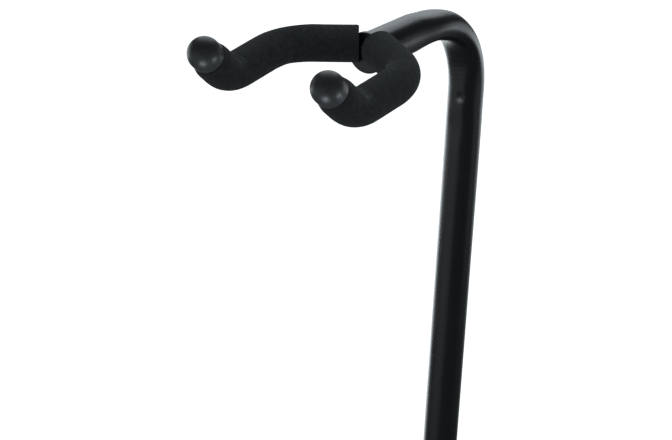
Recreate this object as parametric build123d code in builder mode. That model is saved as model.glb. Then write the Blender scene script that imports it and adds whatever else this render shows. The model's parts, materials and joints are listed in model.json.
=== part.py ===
from build123d import *
import math
import os

os.makedirs("parts", exist_ok=True)

# ---- driving sizes, millimetres; +Z up, the guitar hangs on the -Y side ----

# neck: upright pole, bend and arm in one tube
tube_d = 22.0
tube_wall = 1.5
arm_height = 1060.0          # arm axis above the floor
arm_reach = 108.4            # pole axis to the yoke's crossing on the arm axis
bend_radius = 54.0
arm_tube_end = 3.0           # tube end past the yoke's crossing
pole_overlap = 275.0         # pole inside the lower tube, below the clamp

# plug in the arm's end
plug_lip = 1.0               # flange past the tube's outside
plug_flange = 3.0
plug_spigot = 2.4
plug_fillet = 1.0

# yoke: points are (out from the middle, forward of the crossing, above the arm axis)
rod_d = 8.0
yoke_middle = (0.0, -1.25, 3.8)
yoke_shoulder = (42.1, 26.2, 1.7)
yoke_dip = (41.3, 78.3, -3.6)
yoke_tip = (40.1, 97.0, 12.0)
yoke_middle_radius = 10.0
yoke_shoulder_radius = 33.0
yoke_dip_radius = 28.0

# foam sleeves and end caps
foam_wall = 6.6
sleeve_split = 1.62          # between the two sleeves where they come nearest
cap_step = 1.2               # cap is this much smaller than the foam, all round
cap_skirt = 5.0              # straight part before the dome
cap_grip = 9.0               # rod inside the cap

# lower tube and clamp
lower_tube_wall = 1.5
bush_wall = 1.4
lower_tube_top = 620.0
bush_length = 30.0
bush_flange = 3.0
guide_length = 20.0
guide_chamfer = 1.2
spigot_length = 20.0
clamp_below = 28.0           # housing below the tube's top
clamp_above = 44.0
clamp_wall = 7.0
clamp_boss_wall = 4.5        # round the nut's corners
clamp_boss = 10.0            # boss past the housing
clamp_rise = 24.0            # screw axis above the tube's top
clamp_top_chamfer = 5.0
clamp_foot_chamfer = 3.0
screw_d = 8.0
clamp_nut_flats = 13.0
clamp_nut_thick = 6.5
pad_d = 7.0
pad_thick = 2.2
knob_d = 42.0
knob_lobe_d = 11.0
knob_lobes = 6
knob_thick = 15.0
knob_neck_d = 20.0
knob_neck = 5.0
knob_stand_off = 2.0         # bare stud between boss and knob
knob_face_fillet = 1.5
knob_back_fillet = 1.0

# tripod
hub_bottom = 112.0
hub_height = 54.0
hub_wall = 6.0
hub_fillet = 1.5
leg_pivot_height = 140.0
leg_pivot_out = 18.0         # pivot past the hub's round wall
lug_rim = 3.0                # lug past the knuckle's eye
lug_root_width = 2.0
lug_root_margin = 2.0        # root stops this far inside the hub's ends
slot_land = 0.5              # hub's wall in front of the slot
slot_below = 5.0             # slot runs out this far under the hub
cheek = 5.0
leg_reach = 330.0            # pole axis to the middle of a foot's dome
leg_d = 19.0
leg_wall = 1.2
knuckle_thick = 10.0
knuckle_step = 0.5           # knuckle is this much smaller than the leg, all round
leg_tube_start = 24.0        # from the pivot
knuckle_shoulder = 3.0
knuckle_spigot = 30.0
pivot_d = 6.0
pivot_head_d = 10.5
pivot_head = 4.0
pivot_nut_flats = 10.0
pivot_nut = 5.0
bolt_tail = 1.0              # bolt past its nut
bolt_head_taper = 10.0
foot_wall = 3.0
foot_mouth_wall = 2.0
foot_cup = 30.0
sole_depth = 2.0             # cut off the dome to make the flat sole
foot_web = 3.0               # rubber between tube end and dome middle
hub_screw_d = 4.0
hub_screw_head_d = 8.0
hub_screw_head = 2.6
hub_screw_taper = 8.0
hub_screw_drop = 10.0        # below the hub's top
base_plug_flange = 4.0
base_plug_spigot = 12.0
base_plug_fillet = 1.5

# body rest on the lower tube
rest_height = 395.0
rest_collar_height = 26.0
rest_wall = 6.0
rest_slit = 3.0
rest_ear = 7.0
rest_ear_length = 13.0       # ear past the collar
rest_arm_wall = 3.0          # round the bar
rest_boss_wall = 4.0
rest_boss = 12.0             # boss past the collar
rest_boss_fillet = 1.5
rest_arm_fillet = 3.0
rest_bar_reach = 66.0        # pole axis to the bar's middle
rest_arm_over = 9.0          # arm past the bar's middle
rest_knee = 26.0             # half the bar's straight middle
rest_half = 108.0            # half the bar's width to the foam's end
rest_sweep = 30.0            # the ends stand this much further forward
rest_bend_radius = 24.0
rest_foam_gap = 1.5          # foam stands this far off the arm

# clearances
running = 0.05               # radial, turning or sliding fits
gap = 0.3                    # between pieces on different bodies
through = 1.0                # a cut runs this far past what it opens

# ---- what follows from them ----

tube_r = tube_d / 2
tube_bore_r = tube_r - tube_wall
rod_r = rod_d / 2
foam_r = rod_r + foam_wall
cap_r = foam_r - cap_step
lower_bore_r = tube_r + running + bush_wall + running
lower_r = lower_bore_r + lower_tube_wall
clamp_r = lower_r + clamp_wall
knob_rim_r = knob_d / 2 - knob_lobe_d / 4
hub_r = lower_r + hub_wall
rest_r = lower_r + rest_wall
rest_arm_r = rod_r + rest_arm_wall
leg_r = leg_d / 2
knuckle_r = leg_r - knuckle_step
foot_r = leg_r + foot_wall
foot_height = foot_r - sole_depth            # middle of the foot's dome above the floor
leg_pivot_reach = hub_r + leg_pivot_out      # from the pole axis
leg_drop = leg_pivot_height - foot_height
leg_run = leg_reach - leg_pivot_reach
leg_slope = math.degrees(math.atan2(leg_drop, leg_run))
leg_length = math.hypot(leg_drop, leg_run)

tip_direction = (Vector(*yoke_tip) - Vector(*yoke_dip)).normalized()
front_reach = arm_reach + yoke_tip[1] + cap_skirt * tip_direction.Y + cap_r
rear_reach = leg_reach + foot_r
pole_y = (front_reach - rear_reach) / 2      # keeps the origin in the middle of the footprint
leg_angles = {"rear": 90.0, "left": 210.0, "right": 330.0}
half_pitch = 180.0 / len(leg_angles)
sides = {"left": -1, "right": 1}


def from_pole(x, y, z):
    return Vector(x, pole_y + y, z)


def on_yoke(point, side=1):
    out, forward, up = point
    return from_pole(side * out, -arm_reach - forward, arm_height + up)


def radial_plane(angle):
    # local x runs outward from the pole axis at this angle, local y runs up
    out = Vector(math.cos(math.radians(angle)), math.sin(math.radians(angle)), 0)
    return Plane(origin=from_pole(0, 0, 0), x_dir=out, z_dir=out.cross(Vector(0, 0, 1)))


def leg_plane(angle):
    # origin on the leg's pivot, normal along the leg towards its foot
    base = radial_plane(angle)
    pivot = base.from_local_coords(Vector(leg_pivot_reach, leg_pivot_height, 0))
    foot = base.from_local_coords(Vector(leg_reach, foot_height, 0))
    return Plane(origin=pivot, x_dir=base.z_dir, z_dir=foot - pivot)


def save(piece, name):
    piece.part.label = name
    export_step(piece.part, f"parts/{name}.step")


def swept_tube(path, outer_r, bore_r=0.0):
    with BuildPart() as tube:
        with BuildSketch(Plane(origin=path @ 0, z_dir=path % 0)):
            Circle(outer_r)
            if bore_r > 0:
                Circle(bore_r, mode=Mode.SUBTRACT)
        sweep(path=path)
    return tube


def ring(bottom, top, outer_r, bore_r):
    # a plain sleeve round the pole's axis
    with BuildPart() as sleeve:
        with BuildSketch(Plane(origin=from_pole(0, 0, bottom))):
            Circle(outer_r)
            Circle(bore_r, mode=Mode.SUBTRACT)
        extrude(amount=top - bottom)
    return sleeve


def end_cap(end, direction):
    # domed cap with a blind hole for the rod, seated on the foam's end
    seat = Plane(origin=end, z_dir=direction)
    with BuildPart() as cap:
        with BuildSketch(Plane(origin=end, x_dir=seat.z_dir, z_dir=seat.x_dir)):
            with BuildLine():
                Polyline((cap_skirt + cap_r, 0), (0, 0), (0, cap_r), (cap_skirt, cap_r))
                CenterArc((cap_skirt, 0), cap_r, 0, 90)
            make_face()
        revolve(axis=Axis(end, seat.z_dir))
        with BuildSketch(seat):
            Circle(rod_r)
        extrude(amount=cap_grip, mode=Mode.SUBTRACT)
    return cap


# ---- neck ----

clamp_bottom = lower_tube_top - clamp_below
pole_bottom = clamp_bottom - pole_overlap

with BuildLine() as neck_line:
    FilletPolyline(
        from_pole(0, 0, pole_bottom),
        from_pole(0, 0, arm_height),
        from_pole(0, -arm_reach - arm_tube_end, arm_height),
        radius=bend_radius,
    )

with BuildLine() as yoke_line:
    tip_over = Vector(*yoke_tip) + cap_grip * tip_direction
    FilletPolyline(
        on_yoke(tuple(tip_over), -1),
        on_yoke(yoke_dip, -1),
        on_yoke(yoke_shoulder, -1),
        on_yoke(yoke_middle),
        on_yoke(yoke_shoulder),
        on_yoke(yoke_dip),
        on_yoke(tuple(tip_over)),
        radius=[yoke_dip_radius, yoke_shoulder_radius, yoke_middle_radius,
                yoke_shoulder_radius, yoke_dip_radius],
    )

yoke_rod = swept_tube(yoke_line.line, rod_r)
save(yoke_rod, "yoke_rod")

with BuildPart() as neck_tube:
    with BuildSketch(Plane(origin=neck_line.line @ 0)):
        Circle(tube_r)
        Circle(tube_bore_r, mode=Mode.SUBTRACT)
    sweep(path=neck_line.line)
    # shallow notches in the rim, where the rod is welded in
    add(yoke_rod.part, mode=Mode.SUBTRACT)
save(neck_tube, "neck_tube")

arm_end = Plane(origin=on_yoke((0, arm_tube_end, 0)), z_dir=(0, -1, 0))
with BuildPart() as arm_end_plug:
    with BuildSketch(arm_end):
        Circle(tube_r + plug_lip)
    extrude(amount=plug_flange)
    fillet(arm_end_plug.faces().sort_by(Axis.Y)[0].edges(), plug_fillet)
    with BuildSketch(arm_end):
        Circle(tube_bore_r)
    extrude(amount=-plug_spigot)
    add(yoke_rod.part, mode=Mode.SUBTRACT)
save(arm_end_plug, "arm_end_plug")

# a sleeve starts where its cut end clears the other sleeve by the split
rod_direction = (Vector(*yoke_shoulder) - Vector(*yoke_middle)).normalized()
rod_slant = math.sqrt(1 - rod_direction.X ** 2)
foam_start = (foam_r * rod_slant + sleeve_split / 2) / rod_direction.X
sleeve_start = Vector(*yoke_middle) + foam_start * rod_direction
for name, side in sides.items():
    with BuildLine() as sleeve_line:
        FilletPolyline(
            on_yoke(tuple(sleeve_start), side),
            on_yoke(yoke_shoulder, side),
            on_yoke(yoke_dip, side),
            on_yoke(yoke_tip, side),
            radius=[yoke_shoulder_radius, yoke_dip_radius],
        )
    foam = swept_tube(sleeve_line.line, foam_r, rod_r)
    with BuildPart() as foam_sleeve:
        add(foam.part)
        # the foam gives way round the arm and its plug
        with BuildSketch(arm_end.offset(plug_flange + gap)):
            Circle(tube_r + plug_lip + gap)
        extrude(amount=-2 * foam_r, mode=Mode.SUBTRACT)
    save(foam_sleeve, f"foam_sleeve_{name}")
    tip_axis = on_yoke(yoke_tip, side) - on_yoke(yoke_dip, side)
    save(end_cap(on_yoke(yoke_tip, side), tip_axis), f"end_cap_{name}")

with BuildPart() as pole_guide_plug:
    with BuildSketch(Plane(origin=from_pole(0, 0, pole_bottom))):
        Circle(lower_bore_r - running)
    extrude(amount=-guide_length)
    chamfer(pole_guide_plug.faces().sort_by(Axis.Z)[0].edges(), guide_chamfer)
    with BuildSketch(Plane(origin=from_pole(0, 0, pole_bottom))):
        Circle(tube_bore_r)
    extrude(amount=spigot_length)
save(pole_guide_plug, "pole_guide_plug")

# ---- lower tube, bush and clamp ----

screw_height = lower_tube_top + clamp_rise
screw_plane = Plane(origin=from_pole(0, 0, screw_height), z_dir=(0, 1, 0))
hub_screw_angles = [angle + half_pitch for angle in leg_angles.values()]
hub_screw_height = hub_bottom + hub_height - hub_screw_drop
hub_screw_planes = []
for angle in hub_screw_angles:
    out = radial_plane(angle).x_dir
    hub_screw_planes.append(Plane(origin=from_pole(0, 0, hub_screw_height), z_dir=out))

with BuildPart() as lower_tube:
    add(ring(hub_bottom, lower_tube_top, lower_r, lower_bore_r).part)
    for plane in hub_screw_planes:
        with BuildSketch(plane):
            Circle(hub_screw_d / 2)
        extrude(amount=lower_r + through, mode=Mode.SUBTRACT)
save(lower_tube, "lower_tube")

with BuildPart() as base_plug:
    with BuildSketch(Plane(origin=from_pole(0, 0, hub_bottom))):
        Circle(lower_r)
    extrude(amount=-base_plug_flange)
    fillet(base_plug.faces().sort_by(Axis.Z)[0].edges(), base_plug_fillet)
    with BuildSketch(Plane(origin=from_pole(0, 0, hub_bottom))):
        Circle(lower_bore_r)
    extrude(amount=base_plug_spigot)
save(base_plug, "base_plug")

with BuildPart() as slide_bush:
    bush_bore_r = tube_r + running
    add(ring(lower_tube_top - bush_length, lower_tube_top, lower_bore_r - running, bush_bore_r).part)
    add(ring(lower_tube_top, lower_tube_top + bush_flange, lower_r - gap, bush_bore_r).part)
save(slide_bush, "slide_bush")

clamp_top = lower_tube_top + clamp_above
clamp_boss_end = clamp_r + clamp_boss
clamp_boss_r = clamp_nut_flats / math.sqrt(3) + clamp_boss_wall
nut_start = clamp_boss_end - clamp_nut_thick
with BuildPart() as clutch_housing:
    add(ring(clamp_bottom, clamp_top, clamp_r, tube_r + gap).part)
    top_rim = clutch_housing.faces().sort_by(Axis.Z)[-1].edges().sort_by(SortBy.LENGTH)[-1]
    chamfer(top_rim, clamp_top_chamfer)
    foot_rim = clutch_housing.faces().sort_by(Axis.Z)[0].edges().sort_by(SortBy.LENGTH)[-1]
    chamfer(foot_rim, clamp_foot_chamfer)
    with BuildSketch(screw_plane.offset(lower_r)):
        Circle(clamp_boss_r)
    extrude(amount=clamp_boss_end - lower_r)
    # seat of the lower tube, then a pocket for the bush's flange
    with BuildSketch(Plane(origin=from_pole(0, 0, clamp_bottom))):
        Circle(lower_r)
    extrude(amount=clamp_below + bush_flange + gap, mode=Mode.SUBTRACT)
    with BuildSketch(screw_plane):
        Circle(screw_d / 2 + gap)
    extrude(amount=clamp_boss_end + through, mode=Mode.SUBTRACT)
    with BuildSketch(screw_plane.offset(nut_start)):
        RegularPolygon(clamp_nut_flats / 2, 6, major_radius=False)
    extrude(amount=clamp_nut_thick, mode=Mode.SUBTRACT)
    with BuildSketch(Plane(origin=from_pole(0, 0, clamp_bottom))):
        Circle(tube_r + gap)
    extrude(amount=clamp_below + clamp_above, mode=Mode.SUBTRACT)
save(clutch_housing, "clutch_housing")

with BuildPart() as clutch_nut:
    with BuildSketch(screw_plane.offset(nut_start)):
        RegularPolygon(clamp_nut_flats / 2, 6, major_radius=False)
        Circle(screw_d / 2 + running, mode=Mode.SUBTRACT)
    extrude(amount=clamp_nut_thick)
save(clutch_nut, "clutch_nut")

pad_start = tube_r + gap
knob_start = clamp_boss_end + knob_stand_off
with BuildPart() as clutch_pad:
    with BuildSketch(screw_plane.offset(pad_start)):
        Circle(pad_d / 2)
    extrude(amount=pad_thick)
save(clutch_pad, "clutch_pad")

stud_length = knob_start + knob_neck + knob_thick / 2 - pad_start - pad_thick
with BuildPart() as clutch_stud:
    with BuildSketch(screw_plane.offset(pad_start + pad_thick)):
        Circle(screw_d / 2)
    extrude(amount=stud_length)
save(clutch_stud, "clutch_stud")

with BuildPart() as clutch_knob:
    with BuildSketch(screw_plane.offset(knob_start + knob_neck)):
        Circle(knob_rim_r)
        with PolarLocations(knob_d / 2, knob_lobes):
            Circle(knob_lobe_d / 2, mode=Mode.SUBTRACT)
    extrude(amount=knob_thick)
    fillet(clutch_knob.faces().sort_by(Axis.Y)[-1].edges(), knob_face_fillet)
    fillet(clutch_knob.faces().sort_by(Axis.Y)[0].edges(), knob_back_fillet)
    with BuildSketch(screw_plane.offset(knob_start)):
        Circle(knob_neck_d / 2)
    extrude(amount=knob_neck)
    add(clutch_stud.part, mode=Mode.SUBTRACT)
save(clutch_knob, "clutch_knob")

# ---- tripod hub ----

lug_width = knuckle_thick + 2 * (gap + cheek)
stop_offset = knuckle_r + gap
lug_r = knuckle_r + lug_rim
slope = math.radians(leg_slope)


def stop_height(reach):
    # the stop face above a leg's knuckle, parallel to the opened leg
    return leg_pivot_height + stop_offset / math.cos(slope) - (reach - leg_pivot_reach) * math.tan(slope)


lug_root = hub_r - hub_wall / 2
slot_start = hub_r + slot_land
slot_foot = hub_bottom - slot_below
slot_end = leg_pivot_reach + 2 * lug_r
with BuildPart() as tripod_hub:
    add(ring(hub_bottom, hub_bottom + hub_height, hub_r, lower_r).part)
    for angle in leg_angles.values():
        base = radial_plane(angle)
        with BuildSketch(base):
            with Locations((leg_pivot_reach, leg_pivot_height)):
                Circle(lug_r)
            with Locations((lug_root, hub_bottom + hub_height / 2)):
                Rectangle(lug_root_width, hub_height - 2 * lug_root_margin)
            make_hull()
        extrude(amount=lug_width / 2, both=True)
    hub_rim = tripod_hub.faces().sort_by(Axis.Z)[-1].edges().sort_by(SortBy.LENGTH)[-1]
    fillet(hub_rim, hub_fillet)
    for angle in leg_angles.values():
        base = radial_plane(angle)
        with BuildSketch(base):
            Polygon(
                (slot_start, slot_foot),
                (slot_end, slot_foot),
                (slot_end, stop_height(slot_end)),
                (slot_start, stop_height(slot_start)),
                align=None,
            )
        extrude(amount=knuckle_thick / 2 + gap, both=True, mode=Mode.SUBTRACT)
        with BuildSketch(base):
            with Locations((leg_pivot_reach, leg_pivot_height)):
                Circle(pivot_d / 2)
        extrude(amount=lug_width, both=True, mode=Mode.SUBTRACT)
    with BuildSketch(Plane(origin=from_pole(0, 0, hub_bottom))):
        Circle(lower_r)
    extrude(amount=hub_height, mode=Mode.SUBTRACT)
    for plane in hub_screw_planes:
        with BuildSketch(plane):
            Circle(hub_screw_d / 2)
        extrude(amount=2 * hub_r, mode=Mode.SUBTRACT)
save(tripod_hub, "tripod_hub")

with BuildPart() as hub_screws:
    for plane in hub_screw_planes:
        with BuildSketch(plane.offset(lower_bore_r + gap)):
            Circle(hub_screw_d / 2)
        extrude(amount=hub_r - lower_bore_r - gap)
        with BuildSketch(plane.offset(hub_r)):
            Circle(hub_screw_head_d / 2)
        extrude(amount=hub_screw_head, taper=hub_screw_taper)
save(hub_screws, "hub_screws")

with BuildPart() as leg_pivot_bolts:
    for angle in leg_angles.values():
        base = radial_plane(angle)
        with BuildSketch(base.offset(-lug_width / 2)):
            with Locations((leg_pivot_reach, leg_pivot_height)):
                Circle(pivot_d / 2)
        extrude(amount=lug_width + pivot_nut + bolt_tail)
        with BuildSketch(base.offset(-lug_width / 2)):
            with Locations((leg_pivot_reach, leg_pivot_height)):
                Circle(pivot_head_d / 2)
        extrude(amount=-pivot_head, taper=bolt_head_taper)
save(leg_pivot_bolts, "leg_pivot_bolts")

with BuildPart() as leg_pivot_nuts:
    for angle in leg_angles.values():
        with BuildSketch(radial_plane(angle).offset(lug_width / 2)):
            with Locations((leg_pivot_reach, leg_pivot_height)):
                RegularPolygon(pivot_nut_flats / 2, 6, major_radius=False)
                Circle(pivot_d / 2, mode=Mode.SUBTRACT)
        extrude(amount=pivot_nut)
save(leg_pivot_nuts, "leg_pivot_nuts")

# ---- legs ----

for name, angle in leg_angles.items():
    along = leg_plane(angle)
    side_on = Plane(origin=along.origin, x_dir=along.z_dir, z_dir=along.x_dir)

    with BuildPart() as leg_knuckle:
        with BuildSketch(side_on):
            Circle(knuckle_r)
            with Locations((leg_tube_start / 2, 0)):
                Rectangle(leg_tube_start, 2 * knuckle_r)
        extrude(amount=knuckle_thick / 2, both=True)
        with BuildSketch(along.offset(leg_tube_start)):
            Circle(leg_r)
        extrude(amount=-knuckle_shoulder)
        with BuildSketch(along.offset(leg_tube_start)):
            Circle(leg_r - leg_wall)
        extrude(amount=knuckle_spigot)
        with BuildSketch(side_on):
            Circle(pivot_d / 2 + running)
        extrude(amount=knuckle_thick, both=True, mode=Mode.SUBTRACT)
    save(leg_knuckle, f"leg_knuckle_{name}")

    with BuildPart() as leg_tube:
        with BuildSketch(along.offset(leg_tube_start)):
            Circle(leg_r)
            Circle(leg_r - leg_wall, mode=Mode.SUBTRACT)
        extrude(amount=leg_length - foot_web - leg_tube_start)
    save(leg_tube, f"leg_tube_{name}")

    with BuildPart() as leg_foot:
        with BuildSketch(side_on):
            with BuildLine():
                Polyline(
                    (leg_length + foot_r, 0),
                    (leg_length - foot_cup, 0),
                    (leg_length - foot_cup, leg_r + foot_mouth_wall),
                    (leg_length, foot_r),
                )
                CenterArc((leg_length, 0), foot_r, 0, 90)
            make_face()
        revolve(axis=Axis(along.origin, along.z_dir))
        with BuildSketch(along.offset(leg_length - foot_web)):
            Circle(leg_r)
        extrude(amount=-foot_cup, mode=Mode.SUBTRACT)
        split(bisect_by=Plane.XY, keep=Keep.TOP)
    save(leg_foot, f"leg_foot_{name}")

# ---- body rest ----

rest_level = Plane(origin=from_pole(0, 0, rest_height))
rest_bottom = rest_height - rest_collar_height / 2
rest_top = rest_height + rest_collar_height / 2
ear_span = rest_slit + 2 * rest_ear
rest_ear_reach = rest_r + rest_ear_length
rest_bolt_reach = rest_r + rest_ear_length / 2
rest_boss_end = rest_r + rest_boss
boss_plane = Plane(origin=from_pole(0, 0, rest_height), z_dir=(0, -1, 0))
bolt_plane = Plane(origin=from_pole(0, rest_bolt_reach, rest_height), z_dir=(1, 0, 0))

with BuildPart() as rest_collar:
    add(ring(rest_bottom, rest_top, rest_r, lower_r).part)
    with BuildSketch(rest_level.offset(-rest_collar_height / 2)):
        with Locations((0, rest_ear_reach / 2)):
            Rectangle(ear_span, rest_ear_reach)
    extrude(amount=rest_collar_height)
    with BuildSketch(boss_plane):
        Circle(rest_arm_r + rest_boss_wall)
    extrude(amount=rest_boss_end)
    fillet(rest_collar.faces().sort_by(Axis.Y)[0].edges(), rest_boss_fillet)
    with BuildSketch(rest_level.offset(-rest_collar_height / 2)):
        Circle(lower_r)
        with Locations((0, rest_ear_reach)):
            Rectangle(rest_slit, 2 * rest_ear_reach)
    extrude(amount=rest_collar_height, mode=Mode.SUBTRACT)
    with BuildSketch(boss_plane.offset(lower_r)):
        Circle(rest_arm_r)
    extrude(amount=rest_boss_end, mode=Mode.SUBTRACT)
    with BuildSketch(bolt_plane):
        Circle(pivot_d / 2)
    extrude(amount=ear_span, both=True, mode=Mode.SUBTRACT)
save(rest_collar, "rest_collar")

with BuildPart() as rest_pinch_bolt:
    with BuildSketch(bolt_plane.offset(-ear_span / 2)):
        Circle(pivot_d / 2)
    extrude(amount=ear_span + pivot_nut + bolt_tail)
    with BuildSketch(bolt_plane.offset(-ear_span / 2)):
        Circle(pivot_head_d / 2)
    extrude(amount=-pivot_head, taper=bolt_head_taper)
save(rest_pinch_bolt, "rest_pinch_bolt")

with BuildPart() as rest_pinch_nut:
    with BuildSketch(bolt_plane.offset(ear_span / 2)):
        RegularPolygon(pivot_nut_flats / 2, 6, major_radius=False)
        Circle(pivot_d / 2, mode=Mode.SUBTRACT)
    extrude(amount=pivot_nut)
save(rest_pinch_nut, "rest_pinch_nut")


def on_rest(x, forward):
    return from_pole(x, -rest_bar_reach - forward, rest_height)


sweep_direction = Vector(rest_half - rest_knee, rest_sweep).normalized()
bar_end_x = rest_half + cap_grip * sweep_direction.X
bar_end_forward = rest_sweep + cap_grip * sweep_direction.Y
with BuildLine() as bar_line:
    FilletPolyline(
        on_rest(-bar_end_x, bar_end_forward),
        on_rest(-rest_knee, 0),
        on_rest(rest_knee, 0),
        on_rest(bar_end_x, bar_end_forward),
        radius=rest_bend_radius,
    )
rest_bar = swept_tube(bar_line.line, rod_r)
save(rest_bar, "rest_bar")

with BuildPart() as rest_arm:
    with BuildSketch(boss_plane.offset(lower_r)):
        Circle(rest_arm_r)
    extrude(amount=rest_bar_reach + rest_arm_over - lower_r)
    fillet(rest_arm.faces().sort_by(Axis.Y)[0].edges(), rest_arm_fillet)
    add(rest_bar.part, mode=Mode.SUBTRACT)
save(rest_arm, "rest_arm")

for name, side in sides.items():
    with BuildLine() as rest_sleeve_line:
        FilletPolyline(
            on_rest(side * (rest_arm_r + rest_foam_gap), 0),
            on_rest(side * rest_knee, 0),
            on_rest(side * rest_half, rest_sweep),
            radius=rest_bend_radius,
        )
    save(swept_tube(rest_sleeve_line.line, foam_r, rod_r), f"rest_sleeve_{name}")
    rest_end = on_rest(side * rest_half, rest_sweep)
    save(end_cap(rest_end, rest_end - on_rest(side * rest_knee, 0)), f"rest_cap_{name}")

print(f"leg slope {leg_slope:.2f} degrees, leg length {leg_length:.1f}, pole at y {pole_y:.2f}")
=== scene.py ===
import json
import math
import bpy
from mathutils import Matrix, Vector, noise


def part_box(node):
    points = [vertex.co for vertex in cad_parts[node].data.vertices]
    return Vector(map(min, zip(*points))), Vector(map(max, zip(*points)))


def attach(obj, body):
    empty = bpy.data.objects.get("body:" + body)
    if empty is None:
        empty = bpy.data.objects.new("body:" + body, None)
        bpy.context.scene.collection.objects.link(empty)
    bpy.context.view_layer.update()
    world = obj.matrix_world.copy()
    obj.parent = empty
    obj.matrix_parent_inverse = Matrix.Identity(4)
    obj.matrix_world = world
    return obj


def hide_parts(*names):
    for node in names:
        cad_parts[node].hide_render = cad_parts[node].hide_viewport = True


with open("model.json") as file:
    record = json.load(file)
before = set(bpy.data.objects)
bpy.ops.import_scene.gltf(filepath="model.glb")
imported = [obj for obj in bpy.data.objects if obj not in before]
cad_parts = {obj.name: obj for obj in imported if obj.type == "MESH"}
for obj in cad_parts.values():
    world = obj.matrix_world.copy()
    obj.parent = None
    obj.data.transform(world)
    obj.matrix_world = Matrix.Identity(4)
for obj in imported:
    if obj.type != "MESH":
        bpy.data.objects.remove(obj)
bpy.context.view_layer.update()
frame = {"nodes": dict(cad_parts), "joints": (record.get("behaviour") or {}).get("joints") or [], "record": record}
cadNodes = frame["nodes"]
print("frame loaded:", len(cadNodes), "parts")


# ---- where things stand, read from the frame ----

neckLow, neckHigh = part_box("neck_tube")
tubeRadius = (neckHigh.x - neckLow.x) / 2
poleY = neckHigh.y - tubeRadius
armZ = neckHigh.z - tubeRadius
armEnd = Vector((0, neckLow.y, armZ))
corner = Vector((0, poleY, armZ))          # where pole and arm would meet
pole = Vector((0, poleY, 0))
sideWord = {"left": -1, "right": 1}


# ---- camera ----

cameraView = {
    "azimuth": 33.553, "elevation": 23.707, "roll": 2.812, "distance": 1.2511,
    "aimLeft": 0.08145, "aimDown": 0.12784, "lens": 112.149, "sensor": 36.0,
}


def addCamera(s):
    azimuth, elevation, roll = (math.radians(s[k]) for k in ("azimuth", "elevation", "roll"))
    ahead = Vector((-math.sin(azimuth) * math.cos(elevation), math.cos(azimuth) * math.cos(elevation),
                    -math.sin(elevation)))
    levelRight = Vector((math.cos(azimuth), math.sin(azimuth), 0))
    levelUp = levelRight.cross(ahead)
    right = math.cos(roll) * levelRight + math.sin(roll) * levelUp
    up = -math.sin(roll) * levelRight + math.cos(roll) * levelUp
    aim = corner - s["aimLeft"] * right - s["aimDown"] * up
    bpy.ops.object.camera_add(location=aim - s["distance"] * ahead)
    camera = bpy.context.object
    camera.rotation_euler = Matrix((right, up, -ahead)).transposed().to_euler()
    camera.data.lens = s["lens"]
    camera.data.sensor_width = s["sensor"]
    camera.data.clip_start = 0.05
    camera.data.clip_end = 30
    bpy.context.scene.camera = camera


addCamera(cameraView)
print("camera placed")


# ---- shaping helpers ----

def deselectAll():
    if bpy.context.object and bpy.context.object.mode != "OBJECT":
        bpy.ops.object.mode_set(mode="OBJECT")
    bpy.ops.object.select_all(action="DESELECT")


def activate(piece):
    deselectAll()
    piece.select_set(True)
    bpy.context.view_layer.objects.active = piece


def closeUp(piece):
    # merges doubles, closes open ends and turns every face outward
    activate(piece)
    bpy.ops.object.mode_set(mode="EDIT")
    bpy.ops.mesh.select_all(action="SELECT")
    bpy.ops.mesh.remove_doubles(threshold=1e-6)
    bpy.ops.mesh.fill_holes(sides=0)
    bpy.ops.mesh.select_all(action="SELECT")
    bpy.ops.mesh.normals_make_consistent(inside=False)
    bpy.ops.object.mode_set(mode="OBJECT")


def settle(piece, name, smoothAngle=40):
    # names the piece, moves its place into the mesh and smooths it
    activate(piece)
    piece.name = name
    piece.data.name = name
    bpy.ops.object.transform_apply(location=True, rotation=True, scale=True)
    bpy.ops.object.shade_smooth_by_angle(angle=math.radians(smoothAngle))
    return piece


def applyModifier(piece, kind, **values):
    activate(piece)
    modifier = piece.modifiers.new(kind.lower(), kind)
    for key, value in values.items():
        setattr(modifier, key, value)
    bpy.ops.object.modifier_apply(modifier=modifier.name)


def joinAll(pieces):
    activate(pieces[0])
    for piece in pieces:
        piece.select_set(True)
    bpy.ops.object.join()
    return bpy.context.object


def copyTurned(piece, name, degrees):
    # a copy with its own mesh, turned round the pole
    activate(piece)
    copy = piece.copy()
    copy.data = piece.data.copy()
    bpy.context.collection.objects.link(copy)
    turn = Matrix.Rotation(math.radians(degrees), 4, "Z")
    copy.matrix_world = Matrix.Translation(pole) @ turn @ Matrix.Translation(-pole)
    return settle(copy, name)


def smooth(low, high, value):
    share = min(1.0, max(0.0, (value - low) / (high - low)))
    return share * share * (3 - 2 * share)


def hump(value, riseFrom, riseTo, fallFrom, fallTo):
    return smooth(riseFrom, riseTo, value) * (1 - smooth(fallFrom, fallTo, value))


def limited(value, limit, blendWidth):
    # the lower of the two, with a round knee
    nearness = max(blendWidth - abs(value - limit), 0) / blendWidth
    return min(value, limit) - nearness * nearness * blendWidth / 4


def soften(corners, steps=4):
    # outline of (radius, height, corner radius) points with its corners rounded
    outline = []
    for index, (across, along, radius) in enumerate(corners):
        at = Vector((across, along))
        if radius == 0 or index in (0, len(corners) - 1):
            outline.append(tuple(at))
            continue
        back = (Vector(corners[index - 1][:2]) - at).normalized()
        onward = (Vector(corners[index + 1][:2]) - at).normalized()
        half = back.angle(onward) / 2
        centre = at + (back + onward).normalized() * radius / math.sin(half)
        start = at + back * radius / math.tan(half) - centre
        sweep = math.pi - 2 * half
        if back.x * onward.y - back.y * onward.x > 0:
            sweep = -sweep
        for step in range(steps + 1):
            turn = Matrix.Rotation(sweep * step / steps, 2)
            outline.append(tuple(centre + turn @ start))
    return outline


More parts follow.
